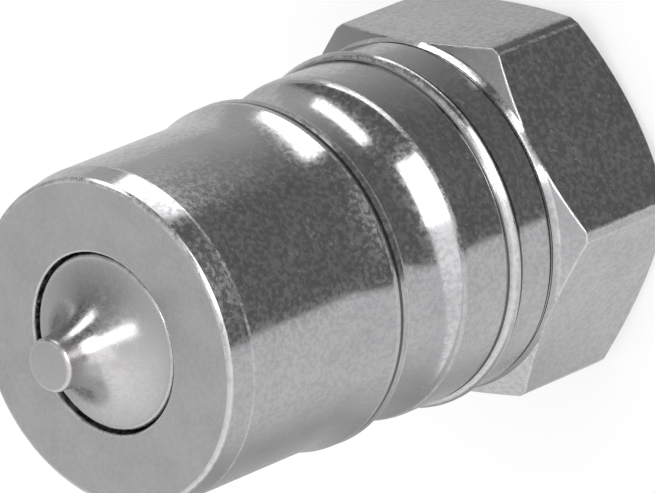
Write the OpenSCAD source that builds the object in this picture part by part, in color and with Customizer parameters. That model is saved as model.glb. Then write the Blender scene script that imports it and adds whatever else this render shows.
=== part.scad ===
// Hydraulic quick coupler, the male half with its own poppet valve. Millimetres.
// Z is the coupling axis. The port face stands on Z = 0 and the nose points up.
// Every height is stacked up from the port face, so a longer section lifts all above it.

/* [Hexagon and port] */
// Width of the wrench hexagon across its flats
hex_across_flats = 33.3; // [32.8:0.1:36]
// Length of the hexagon, from the port face to the joint with the nose body
hex_length = 14.7; // [14.2:0.1:20]
// Diameter of the circle that each end chamfer of the hexagon leaves
hex_chamfer_d = 31.8; // [30.6:0.1:32.4]
// Angle of the end chamfers, from the end face
hex_chamfer_angle = 30; // [20:1:35]
// Crest diameter of the port's pipe thread
port_minor_d = 24.12; // [23.6:0.02:24.4]
// Root diameter of the port's pipe thread
port_major_d = 26.44; // [26:0.02:26.8]
// Pitch of the port's pipe thread
port_pitch = 1.814; // [1.5:0.002:2]
// Length of full thread in the port
port_thread_l = 13.2; // [10:0.1:13.4]
// Diameter of the flow passage behind the port thread
passage_d = 22; // [20:0.1:22.4]

/* [Joint between adapter and nose body] */
// Root diameter of the joint thread
joint_minor_d = 26.4; // [26.2:0.1:26.8]
// Crest diameter of the joint thread
joint_major_d = 28; // [27.6:0.1:28.4]
// Pitch of the joint thread
joint_pitch = 1.5; // [1:0.05:1.75]
// Length of the threaded part of the joint
joint_thread_l = 5.4; // [4:0.1:6]
// Diameter of the recess that holds the joint seals
seal_recess_d = 29.3; // [29:0.1:30]
// Diameter of the adapter's neck under the joint seals
seal_neck_d = 25.5; // [25.2:0.1:25.8]
// Depth of the recess that holds the joint seals
seal_recess_l = 3.2; // [3.1:0.1:3.6]
// Thickness of the joint's O-ring
joint_ring_t = 1.8; // [1.6:0.05:1.85]
// Thickness of the joint's backup ring
backup_t = 1; // [0.8:0.05:1.2]

/* [Nose body, outside] */
// How far the neck stands back from the hexagon's flats
neck_step = 0.1; // [0:0.05:0.3]
// Length of the neck
neck_length = 5.1; // [4:0.1:8]
// How far the stop collar stands proud of the neck
collar_step = 0.35; // [0.15:0.05:1]
// Width of the stop collar
collar_width = 0.7; // [0.6:0.1:3]
// Length of the slope from the collar to the band
collar_slope_l = 0.5; // [0.3:0.1:1]
// Diameter of the band between the collar and the locking groove
band_d = 32.5; // [32:0.1:33]
// Length of the band
band_length = 5.6; // [4:0.1:8]
// Depth of the locking groove below the band
groove_depth = 1.75; // [1.3:0.05:2]
// Length of the hollow sweep from the groove's floor to the band
groove_sweep_l = 5.3; // [4:0.1:6.2]
// Length of the groove's floor
groove_floor_l = 1.2; // [0.8:0.1:2]
// Length of the slope at the groove's nose side
groove_front_l = 1.3; // [0.9:0.1:2]
// Diameter of the raised ring in front of the groove
ring_d = 32.7; // [32.3:0.1:33.4]
// Width of the raised ring's crest
ring_width = 1.5; // [0.8:0.1:2.4]
// Length of the hollow flare from the raised ring to the nose
flare_l = 4.7; // [3:0.1:6]
// Diameter of the sealing nose
nose_d = 31.4; // [31:0.05:31.8]
// Length of the straight sealing nose
nose_length = 13.7; // [12:0.1:22]
// Length of the lead-in chamfer at the nose's end
lead_l = 2.7; // [1.5:0.1:3.5]
// Diameter of the flat nose face
face_d = 30.4; // [29.4:0.1:30.6]
// Radius that breaks the outside edges
edge_break = 0.25; // [0.1:0.05:0.35]

/* [Nose body, inside] */
// Diameter of the mouth in the nose face
mouth_d = 16.9; // [16.6:0.1:18]
// Depth of the straight part of the mouth
mouth_l = 1.5; // [1.2:0.1:2]
// Diameter of the chamber behind the valve seat
chamber_d = 23.4; // [22.8:0.1:23.8]
// Diameter of the bore that holds the valve guide
guide_bore_d = 25.4; // [25.2:0.1:25.8]

/* [Poppet] */
// Gap all round the poppet's rim, in the mouth
rim_gap = 0.3; // [0.25:0.05:0.6]
// Depth of the rim below the nose face
rim_recess = 0.3; // [0.2:0.05:0.5]
// Height of the rim's straight side
rim_side_l = 1.2; // [1.1:0.05:1.4]
// Diameter of the flat tip
tip_d = 5; // [4.4:0.1:6.4]
// Length of the straight tip
tip_land = 0.6; // [0.5:0.1:2]
// Angle that the hollow sweep turns through between the tip and the rim
sweep_angle = 80; // [66:1:84]
// How far the poppet's rear flange reaches past its O-ring's centre line
flange_lap = 0.7; // [0.5:0.05:0.85]
// Depth of the flange's back below the nose face
flange_back = 7; // [6.8:0.1:9]
// Thickness of the poppet's O-ring
poppet_ring_t = 1.8; // [1.6:0.05:1.9]
// Diameter of the poppet O-ring's centre line
poppet_ring_d = 19.4; // [19:0.1:19.8]
// Diameter of the boss that centres the spring on the poppet
boss_d = 10.4; // [9:0.1:10.8]
// Length of that boss
boss_l = 2.5; // [2:0.1:4]
// Diameter of the poppet's stem
stem_d = 5; // [4:0.1:6]
// How far the poppet is pushed in when the valve is fully open
travel = 7; // [5:0.1:7.4]

/* [Guide, circlip and spring] */
// Thickness of the guide's rim and spokes
guide_t = 2; // [1.6:0.1:2.4]
// Inside diameter of the guide's rim
guide_rim_d = 21.6; // [21:0.1:22.4]
// Width of each guide spoke
spoke_w = 2.6; // [2:0.1:3.4]
// Outside diameter of the guide's hub
hub_d = 8.6; // [8:0.1:9.6]
// How far the hub reaches below the guide's rim
hub_skirt_l = 2.1; // [1:0.1:2.6]
// Thickness of the internal circlip
clip_t = 1.2; // [1:0.1:1.3]
// Inside diameter of the circlip
clip_d = 23.2; // [22.6:0.1:23.8]
// Depth of the circlip's groove in the guide bore
clip_groove_depth = 0.8; // [0.5:0.05:0.9]
// Width of the opening in the circlip
clip_gap = 8; // [5:0.5:10]
// Diameter of the spring wire
wire_d = 1.5; // [1.2:0.05:1.7]
// Mean diameter of the spring's coils
coil_d = 13.2; // [13:0.1:14.4]
// Number of turns in the spring
coil_turns = 7; // [5:0.5:8]

/* [Clearances] */
// Radial running clearance between stem and guide
running_gap = 0.05; // [0.02:0.01:0.09]
// Radial clearance of a piece that is slipped into its bore
slip_gap = 0.05; // [0.03:0.01:0.1]
// Gap between the threads of the joint, and round the joint's seals
joint_gap = 0.1; // [0.05:0.01:0.15]
// Gap between the poppet's O-ring and the valve seat
seat_gap = 0.1; // [0.05:0.01:0.2]
// Gap at each end of the spring
spring_gap = 0.15; // [0.1:0.05:0.3]
// Gap that is left at the stops
stop_gap = 0.3; // [0.2:0.05:0.5]

/* [Hidden] */
$fn = 96;

steel = "#a9abac";
inner_steel = "#8f9193";
spring_steel = "#77797c";
seal_black = "#1f1f21";
backup_white = "#e4e1d6";

// Diameters that follow from a neighbour and a step or a gap
neck_d = hex_across_flats - 2 * neck_step;
collar_d = neck_d + 2 * collar_step;
groove_d = band_d - 2 * groove_depth;
rim_d = mouth_d - 2 * rim_gap;
flange_d = poppet_ring_d + 2 * flange_lap;

// Heights along the outside, stacked up from the port face
collar_bottom = hex_length + neck_length;
collar_top = collar_bottom + collar_width;
band_bottom = collar_top + collar_slope_l;
band_top = band_bottom + band_length;
floor_bottom = band_top + groove_sweep_l;
floor_top = floor_bottom + groove_floor_l;
ring_bottom = floor_top + groove_front_l;
ring_top = ring_bottom + ring_width;
flare_top = ring_top + flare_l;
lead_bottom = flare_top + nose_length;
nose_top = lead_bottom + lead_l;

// Heights inside, stacked up from the joint
recess_top = hex_length + seal_recess_l;
joint_top = recess_top + joint_thread_l;
guide_bore_bottom = joint_top + stop_gap;
clip_bottom = guide_bore_bottom + stop_gap + joint_gap;
guide_bottom = clip_bottom + clip_t;
guide_top = guide_bottom + guide_t;

// Valve seat and poppet, measured down from the nose face
seat_sum = nose_top - mouth_l + mouth_d / 2;
chamber_top = seat_sum - chamber_d / 2;
rim_top = nose_top - rim_recess;
rim_bottom = rim_top - rim_side_l;
poppet_sum = rim_bottom + rim_d / 2;
seal_height = seat_sum - sqrt(2) * (poppet_ring_t / 2 + seat_gap) - poppet_ring_d / 2;
seal_slot_top = seal_height + poppet_ring_t / 2 + slip_gap;
seal_slot_bottom = seal_height - poppet_ring_t / 2 - slip_gap;
flange_bottom = nose_top - flange_back;
boss_bottom = flange_bottom - boss_l;
tip_sweep_r = (rim_d - tip_d) / 2 / (1 - cos(sweep_angle));
sweep_top = rim_top + tip_sweep_r * sin(sweep_angle);
tip_top = sweep_top + tip_land;
hub_top = boss_bottom - travel - stop_gap;
hub_bottom = guide_bottom - hub_skirt_l;
stem_bottom = hub_bottom - stem_d / 4;

// Spring between the guide's spokes and the poppet's flange
spring_bottom = guide_top + spring_gap;
spring_top = flange_bottom - spring_gap;
coil_steps = 14;
wire_sides = 8;
end_turns = 1;
end_pitch = wire_d + 0.55;
live_pitch = (spring_top - spring_bottom - wire_d - 2 * end_turns * end_pitch) / (coil_turns - 2 * end_turns);

// Points of an arc about (x, y), from one angle to another
arc_steps = 8;
function arc(x, y, r, from, to) =
    [for (i = [0:arc_steps]) let (a = from + (to - from) * i / arc_steps) [x + r * cos(a), y + r * sin(a)]];

// Radius of a hollow that leaves a wall tangentially and moves out by `drop` over `length`
function hollow_radius(length, drop) = (length * length + drop * drop) / (2 * drop);

// Zigzag outline of a thread's crests and roots, from low to high
function thread_outline(minor_r, major_r, pitch, low, high) =
    let (turns = floor((high - low) / pitch))
    [for (i = [0:turns - 1]) each [
        [minor_r, low + i * pitch],
        [minor_r, low + (i + 0.125) * pitch],
        [major_r, low + (i + 0.5) * pitch - pitch * 0.06],
        [major_r, low + (i + 0.5) * pitch + pitch * 0.06],
        [minor_r, low + (i + 0.875) * pitch]]];

// Height of the spring's centre line after t turns: close end turns, open live turns
function coil_height(t) =
    t < end_turns ? t * end_pitch
    : t < coil_turns - end_turns ? end_turns * end_pitch + (t - end_turns) * live_pitch
    : end_turns * end_pitch + (coil_turns - 2 * end_turns) * live_pitch
      + (t - coil_turns + end_turns) * end_pitch;

function coil_point(t, side) =
    let (a = 360 * t, b = 360 * side / wire_sides, r = coil_d / 2 + wire_d / 2 * cos(b))
    [r * cos(a), r * sin(a), spring_bottom + wire_d / 2 + coil_height(t) + wire_d / 2 * sin(b)];

spring_turn_gap = min(end_pitch, live_pitch) - wire_d;
echo(least_gap_between_spring_turns = spring_turn_gap);

// Hexagonal bar with a turned chamfer at both ends; a corner points along +X
module chamfered_hexagon(across, length, circle_d, angle) {
    corner_r = across / sqrt(3);
    blank_r = corner_r + edge_break;
    rise = (blank_r - circle_d / 2) * tan(angle);
    intersection() {
        cylinder(r = corner_r, h = length, $fn = 6);
        rotate_extrude() polygon([
            [0, 0], [circle_d / 2, 0], [blank_r, rise],
            [blank_r, length - rise], [circle_d / 2, length], [0, length]]);
    }
}

// Rings of V-shaped grooves that stand for a thread's cut, round the Z axis
module thread_cut(minor_d, major_d, pitch, low, high) {
    outline = thread_outline(minor_d / 2, major_d / 2, pitch, low, high);
    rotate_extrude() polygon(concat(
        [[minor_d / 4, low]], outline, [[minor_d / 4, outline[len(outline) - 1][1]]]));
}

module round_ring(centre_d, thickness, height) {
    translate([0, 0, height]) rotate_extrude()
        translate([centre_d / 2, 0]) circle(d = thickness, $fn = 48);
}

// Outside and inside of the nose body as one turned profile
module nose_body() color(steel) {
    flare_r = hollow_radius(flare_l, (ring_d - nose_d) / 2);
    sweep_r = hollow_radius(groove_sweep_l, groove_depth - edge_break / 2);
    outside = concat(
        [[neck_d / 2 - edge_break, hex_length], [neck_d / 2, hex_length + edge_break]],
        [[neck_d / 2, collar_bottom], [collar_d / 2 - edge_break / 2, collar_bottom]],
        [[collar_d / 2, collar_bottom + edge_break / 2], [collar_d / 2, collar_top]],
        [[band_d / 2, band_bottom], [band_d / 2, band_top - edge_break]],
        arc(groove_d / 2 + sweep_r, floor_bottom, sweep_r, 180 + asin(groove_sweep_l / sweep_r), 180),
        [[groove_d / 2, floor_top], [ring_d / 2 - edge_break / 2, ring_bottom]],
        [[ring_d / 2, ring_bottom + edge_break / 2]],
        arc(nose_d / 2 + flare_r, flare_top, flare_r, 180 + asin(flare_l / flare_r), 180),
        [[nose_d / 2, lead_bottom], [face_d / 2 + edge_break / 3, nose_top - edge_break]],
        [[face_d / 2 - edge_break, nose_top]]);
    inside = [
        [mouth_d / 2 + edge_break / 2, nose_top],
        [mouth_d / 2, nose_top - edge_break / 2], [mouth_d / 2, nose_top - mouth_l],
        [chamber_d / 2, chamber_top], [chamber_d / 2, guide_top],
        [guide_bore_d / 2, guide_top], [guide_bore_d / 2, guide_bottom],
        [guide_bore_d / 2 + clip_groove_depth, guide_bottom],
        [guide_bore_d / 2 + clip_groove_depth, clip_bottom - joint_gap],
        [guide_bore_d / 2, clip_bottom - joint_gap], [guide_bore_d / 2, guide_bore_bottom],
        [joint_minor_d / 2, guide_bore_bottom], [joint_minor_d / 2, recess_top],
        [seal_recess_d / 2, recess_top], [seal_recess_d / 2, hex_length]];
    difference() {
        rotate_extrude() polygon(concat(outside, inside));
        thread_cut(joint_minor_d, joint_major_d, joint_pitch, recess_top, joint_top);
    }
}

// Spigot profile of the adapter, above the hexagon, with its thread's crests
module spigot() {
    low = recess_top + joint_gap;
    thread = thread_outline(joint_minor_d / 2 - joint_gap, joint_major_d / 2 - joint_gap,
                            joint_pitch, recess_top, joint_top);
    rotate_extrude() polygon(concat(
        [[0, hex_length - 1], [seal_neck_d / 2, hex_length - 1], [seal_neck_d / 2, low]],
        [for (p = thread) if (p[1] > low) p],
        [[joint_minor_d / 2 - joint_gap, joint_top], [0, joint_top]]));
}

module hex_adapter() color(steel) {
    mouth_chamfer = (port_major_d - port_minor_d) / 2 + edge_break;
    shoulder = (port_minor_d - passage_d) / 2;
    bore_end = port_thread_l + port_pitch / 2;
    difference() {
        union() {
            chamfered_hexagon(hex_across_flats, hex_length, hex_chamfer_d, hex_chamfer_angle);
            spigot();
        }
        cylinder(d = port_minor_d, h = bore_end);
        translate([0, 0, bore_end])
            cylinder(d1 = port_minor_d, d2 = passage_d, h = shoulder);
        cylinder(d = passage_d, h = joint_top + 1);
        thread_cut(port_minor_d, port_major_d, port_pitch, port_pitch / 2, port_thread_l);
        translate([0, 0, -edge_break])
            cylinder(r1 = port_minor_d / 2 + mouth_chamfer + edge_break, r2 = port_minor_d / 2,
                     h = mouth_chamfer + edge_break);
    }
}

joint_ring_height = hex_length + joint_gap + backup_t + joint_ring_t / 2;
joint_ring_centre_d = seal_recess_d - joint_ring_t - joint_gap;

module joint_o_ring() color(seal_black)
    round_ring(joint_ring_centre_d, joint_ring_t, joint_ring_height);

module joint_backup_ring() color(backup_white)
    translate([0, 0, hex_length]) difference() {
        cylinder(d = seal_recess_d - joint_gap, h = backup_t);
        translate([0, 0, -1]) cylinder(d = seal_neck_d + joint_gap, h = backup_t + 2);
    }

// Turned poppet: flat tip, hollow sweep, rim, seal slot, flange, boss and stem
module poppet() color(inner_steel) {
    profile = concat(
        [[0, tip_top], [tip_d / 2 - edge_break, tip_top], [tip_d / 2, tip_top - edge_break]],
        arc(tip_d / 2 + tip_sweep_r, sweep_top, tip_sweep_r, 180, 180 + sweep_angle),
        [[rim_d / 2, rim_bottom]],
        [[poppet_sum - seal_slot_top, seal_slot_top]],
        [[poppet_ring_d / 2 - poppet_ring_t / 2 - slip_gap, seal_slot_top]],
        [[poppet_ring_d / 2 - poppet_ring_t / 2 - slip_gap, seal_slot_bottom]],
        [[flange_d / 2 - edge_break, seal_slot_bottom]],
        [[flange_d / 2, seal_slot_bottom - edge_break], [flange_d / 2, flange_bottom]],
        [[boss_d / 2, flange_bottom], [boss_d / 2, boss_bottom]],
        [[stem_d / 2, boss_bottom], [stem_d / 2, stem_bottom + edge_break]],
        [[stem_d / 2 - edge_break, stem_bottom], [0, stem_bottom]]);
    rotate_extrude() polygon(profile);
}

module poppet_seal() color(seal_black) round_ring(poppet_ring_d, poppet_ring_t, seal_height);

// One unbroken wire wound round the Z axis, with a cap at each end
module valve_spring() color(spring_steel) {
    rows = ceil(coil_turns * coil_steps);
    points = [for (i = [0:rows]) for (s = [0:wire_sides - 1])
        coil_point(coil_turns * i / rows, s)];
    last = rows * wire_sides;
    start_cap = [for (s = [1:wire_sides - 2]) [0, s, s + 1]];
    end_cap = [for (s = [1:wire_sides - 2]) [last, last + s + 1, last + s]];
    sides = [for (i = [0:rows - 1]) for (s = [0:wire_sides - 1])
        let (a = i * wire_sides, t = (s + 1) % wire_sides)
        each [[a + s, a + wire_sides + s, a + t], [a + t, a + wire_sides + s, a + wire_sides + t]]];
    polyhedron(points = points, faces = concat(start_cap, sides, end_cap));
}

// Spoked guide: a rim on the body's shoulder, four spokes and a long hub for the stem
module valve_guide() color(inner_steel) {
    outer_d = guide_bore_d - 2 * slip_gap;
    difference() {
        union() {
            translate([0, 0, guide_bottom]) difference() {
                cylinder(d = outer_d, h = guide_t);
                translate([0, 0, -1]) cylinder(d = guide_rim_d, h = guide_t + 2);
            }
            for (turn = [0, 90])
                rotate([0, 0, turn]) translate([-guide_rim_d / 2 - edge_break, -spoke_w / 2, guide_bottom])
                    cube([guide_rim_d + 2 * edge_break, spoke_w, guide_t]);
            translate([0, 0, hub_bottom]) cylinder(d = hub_d, h = hub_top - hub_bottom);
        }
        translate([0, 0, hub_bottom - 1])
            cylinder(d = stem_d + 2 * running_gap, h = hub_top - hub_bottom + 2);
    }
}

// Open spring ring, with a hole for the pliers in each end
module guide_circlip() color(spring_steel) {
    outer_d = guide_bore_d + 2 * clip_groove_depth - 2 * joint_gap;
    ear = (outer_d - clip_d) / 2;
    translate([0, 0, clip_bottom]) difference() {
        cylinder(d = outer_d, h = clip_t);
        translate([0, 0, -1]) cylinder(d = clip_d, h = clip_t + 2);
        translate([0, -clip_gap / 2, -1]) cube([outer_d, clip_gap, clip_t + 2]);
        for (side = [-1, 1])
            rotate([0, 0, side * (asin(clip_gap / clip_d) + 7)])
                translate([clip_d / 2 + ear / 2, 0, -1]) cylinder(d = ear / 2, h = clip_t + 2);
    }
}

nose_body();
hex_adapter();
joint_o_ring();
joint_backup_ring();
poppet();
poppet_seal();
valve_spring();
valve_guide();
guide_circlip();
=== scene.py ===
"""Quick disconnect coupler: a poppet plug with a hexagonal port adapter, dressed for rendering.

The packed model is the frame. Its turned pieces are built again here with rounded edges and
swept hollows, and every piece gets a procedural finish: zinc plating, turned steel, wire, rubber
or plastic. All sizes in the classes are millimetres, and become metres when something is made.
"""

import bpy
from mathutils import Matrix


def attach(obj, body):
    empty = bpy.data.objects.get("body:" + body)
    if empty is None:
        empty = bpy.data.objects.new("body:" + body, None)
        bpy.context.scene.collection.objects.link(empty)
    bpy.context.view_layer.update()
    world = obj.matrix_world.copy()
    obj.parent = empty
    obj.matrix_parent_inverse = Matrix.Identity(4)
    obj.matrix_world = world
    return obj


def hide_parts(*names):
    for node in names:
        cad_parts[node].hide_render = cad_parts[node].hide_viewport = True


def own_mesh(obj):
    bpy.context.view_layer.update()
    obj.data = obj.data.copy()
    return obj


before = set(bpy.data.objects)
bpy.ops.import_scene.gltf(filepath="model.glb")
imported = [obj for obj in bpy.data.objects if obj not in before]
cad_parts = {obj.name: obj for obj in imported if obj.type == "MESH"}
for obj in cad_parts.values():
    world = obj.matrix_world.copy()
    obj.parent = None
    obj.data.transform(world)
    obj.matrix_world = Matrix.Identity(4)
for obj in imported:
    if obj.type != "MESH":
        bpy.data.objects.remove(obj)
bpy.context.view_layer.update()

import logging
import math
from dataclasses import dataclass
from enum import Enum
from typing import Callable, Iterator

import bmesh
import bpy
from bmesh.types import BMEdge, BMesh, BMFace, BMVert
from bpy.types import Material, Node, NodeSocket, NodeTree, Object
from mathutils import Matrix, Vector

log = logging.getLogger("coupler")

Pair = tuple[float, float]
Triple = tuple[float, float, float]

MM = 0.001
TURN = 2 * math.pi
EDGE_LAYER = "edge"
FLAT_LAYER = "flat"
LEVEL_FACE = 0.98  # cosine of the slope up to which a face counts as level
SAME_POINT = 1e-7  # metres within which two vertices are one
SAME_PLANE = 1e-8
WHITE = (1, 1, 1, 1)
NODE_GAP = 220

# How far a rounded corner reaches along each of its sides, from a broken edge to a broad sweep
FINE_BREAK = 0.08
EDGE_BREAK = 0.1
SMALL_ROUND = 0.12
# the next rounding is for a crease that carries a line of painted shade
SHADE_LINE_ROUND = 0.14
LIP_ROUND = 0.16
SOFT_ROUND = 0.2
RING_ROUND = 0.22
WIDE_ROUND = 0.25
SHOWN_ROUND = 0.34
BROAD_ROUND = 0.4
SWEEP_ROUND = 0.5
SMOOTH = 6  # facets in the roundings that show most


class Body(str, Enum):
    """The rigid bodies that pieces ride on."""

    PLUG = "plug_body"
    VALVE = "valve"


class Mark(Enum):
    """What a rounded corner shows: plain metal, rubbed edges lightened by rubbing and by a painted
    highlight, or a dark line of painted shade in creases and under edges.
    """

    PLAIN = 0.0
    # rubbed edges: lighter from real rubbing, and from a painted highlight along them
    WORN_AND_SHEEN = 1.0
    # a dark line of painted shade, where shade falls in creases and under edges
    PAINTED_SHADE = 2.0


class Slot(str, Enum):
    """The record's material slots."""

    BODY = "plated_steel_body"
    ADAPTER = "plated_steel_adapter"
    POPPET = "machined_steel"
    SPRING = "spring_steel"
    RUBBER = "nitrile_rubber"
    BACKUP = "backup_plastic"


# ------------------------ meshes


@dataclass(frozen=True)
class Corner:
    """One corner of a turned outline, in millimetres.

    Args:
        radius: Distance from the axis.
        height: Height above the port face.
        rounding: Length of each side that the rounded corner takes up.
        mark: What the rounding shows.
        steps: Number of facets in the rounding.
    """

    radius: float
    height: float
    rounding: float = 0.0
    mark: Mark = Mark.PLAIN
    steps: int = 4


@dataclass(frozen=True)
class Hollow:
    """A hollow sweep of a turned outline, which leaves a straight wall tangentially.

    Args:
        wall_radius: Radius of the straight wall.
        wall_height: Height at which the sweep leaves the wall.
        end_radius: Radius at the sweep's other end.
        end_height: Height at the sweep's other end.
        from_wall: Whether the outline runs from the wall to the other end.
        steps: Number of facets in the sweep.
    """

    wall_radius: float
    wall_height: float
    end_radius: float
    end_height: float
    from_wall: bool = False
    steps: int = 28

    def draw(self, shape: BMesh) -> list[BMVert]:
        """Spins a vertex about the sweep's centre.

        Args:
            shape: The mesh that the sweep is drawn in.

        Returns:
            The sweep's first and last vertex.
        """
        rise, drop = self.end_height - self.wall_height, self.end_radius - self.wall_radius
        bend = (rise * rise + drop * drop) / (2 * drop)
        centre = Vector((self.wall_radius + bend, 0, self.wall_height)) * MM
        wall = Vector((self.wall_radius, 0, self.wall_height)) * MM
        end = Vector((self.end_radius, 0, self.end_height)) * MM
        start, stop = (wall, end) if self.from_wall else (end, wall)
        turn = math.remainder(math.atan2(stop.x - centre.x, stop.z - centre.z)
                              - math.atan2(start.x - centre.x, start.z - centre.z), TURN)
        first = shape.verts.new(start)
        made = bmesh.ops.spin(shape, geom=[first], cent=centre, axis=(0, 1, 0), dvec=(0, 0, 0),
                              angle=turn, steps=self.steps, use_merge=False, use_duplicate=False)
        return [first, *(item for item in made["geom_last"] if isinstance(item, BMVert))]


def spin_about_axis(shape: BMesh, parts: list, steps: int, angle: float = TURN,
                    rise: float = 0.0) -> list:
    """Spins parts of a mesh about Z; a level full turn closes on itself.

    Args:
        shape: The mesh.
        parts: The vertices and edges, or the faces, that are spun.
        steps: Number of steps.
        angle: Angle in radians.
        rise: Height that each step gains, in millimetres.

    Returns:
        The last parts made.
    """
    made = bmesh.ops.spin(
        shape, geom=parts, cent=(0, 0, 0), axis=(0, 0, 1), dvec=(0, 0, rise * MM), angle=angle,
        steps=steps, use_merge=angle == TURN and not rise, use_duplicate=False)
    return made["geom_last"]


def turn_outline(outline: list[Corner | Hollow], around: int, closed: bool = True) -> BMesh:
    """Turns an outline about Z into a solid.

    Args:
        outline: The outline's corners and hollows, in order.
        around: Number of facets round the axis.
        closed: False for a solid whose outline starts and ends on the axis.

    Returns:
        The solid, with each rounding's mark in the edge layer and its level faces in the flat
        layer.
    """
    shape = bmesh.new()
    marks = shape.verts.layers.float.new(EDGE_LAYER)
    spans = [item.draw(shape) if isinstance(item, Hollow)
             else [shape.verts.new((item.radius * MM, 0.0, item.height * MM))] for item in outline]
    partners = spans[1:] + spans[:1] if closed else spans[1:]
    for first, second in zip(spans, partners):
        shape.edges.new((first[-1], second[0]))
    for item, span in zip(outline, spans):
        if isinstance(item, Corner) and item.rounding:
            made = bmesh.ops.bevel(
                shape, geom=span, offset=item.rounding * MM, offset_type="OFFSET",
                segments=item.steps, profile=0.5, affect="VERTICES", material=-1,
                clamp_overlap=False)
            inner = set(made["edges"])
            for vert in made["verts"]:
                if all(edge in inner for edge in vert.link_edges):
                    vert[marks] = item.mark.value
    spin_about_axis(shape, shape.verts[:] + shape.edges[:], around)
    bmesh.ops.remove_doubles(shape, verts=shape.verts[:], dist=SAME_POINT)
    bmesh.ops.dissolve_degenerate(shape, edges=shape.edges[:], dist=SAME_POINT)
    bmesh.ops.recalc_face_normals(shape, faces=shape.faces[:])
    shown = shape.faces.layers.float.new(EDGE_LAYER)
    level = shape.faces.layers.float.new(FLAT_LAYER)
    for face in shape.faces:
        face[shown] = max(vert[marks] for vert in face.verts)
        face[level] = 1.0 if abs(face.normal.z) > LEVEL_FACE else 0.0
    shape.verts.layers.float.remove(shape.verts.layers.float[EDGE_LAYER])
    return shape


def add_object(name: str, shape: BMesh) -> Object:
    """Turns a finished bmesh, in metres, into an object of the scene, and frees it.

    Args:
        name: Name of the object and its mesh.
        shape: The finished mesh.

    Returns:
        The object.
    """
    mesh = bpy.data.meshes.new(name)
    shape.to_mesh(mesh)
    shape.free()
    added = bpy.data.objects.new(name, mesh)
    bpy.context.scene.collection.objects.link(added)
    return added


def make_piece(name: str, shape: BMesh, crease: float = 32.0) -> Object:
    """Turns a finished bmesh into a smooth-shaded object at the origin.

    Args:
        name: Name of the piece.
        shape: The finished mesh, in metres; it is freed.
        crease: Angle in degrees above which an edge stays sharp.

    Returns:
        The new object, linked to the scene.
    """
    for face in shape.faces:
        face.smooth = True
    for edge in shape.edges:
        edge.smooth = edge.calc_face_angle(0.0) < math.radians(crease)
    piece = add_object(name, shape)
    weighted = piece.modifiers.new("true_flats", "WEIGHTED_NORMAL")
    weighted.mode = "FACE_AREA"
    weighted.weight = 100
    weighted.keep_sharp = True
    return piece


def thread_corners(minor: float, major: float, pitch: float, low: float,
                   high: float) -> Iterator[Corner]:
    """Corners of a thread's crests and roots, from low to high.

    Args:
        minor: Crest radius.
        major: Root radius.
        pitch: Distance between neighbouring crests.
        low: Height of the first crest.
        high: Height that the last root stays below.

    Yields:
        The corners in order, each at its share of a pitch.
    """
    profile = ((0.125, minor), (0.44, major), (0.56, major), (0.875, minor))
    for turn in range(int((high - low) / pitch)):
        for share, radius in profile:
            yield Corner(radius, low + turn * pitch + share * pitch)


# ------------------------ finishes


@dataclass(frozen=True)
class Pattern:
    """A noise pattern, and the band of its values over which it comes in.

    Args:
        size: Rough size of its blotches, in millimetres.
        detail: Number of finer layers.
        roughness: Strength of the finer layers.
        low: Value up to which nothing shows.
        high: Value from which it shows in full.
        least: What it gives up to low.
    """

    size: float
    detail: float = 2.0
    roughness: float = 0.5
    low: float = 0.0
    high: float = 1.0
    least: float = 0.0


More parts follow.
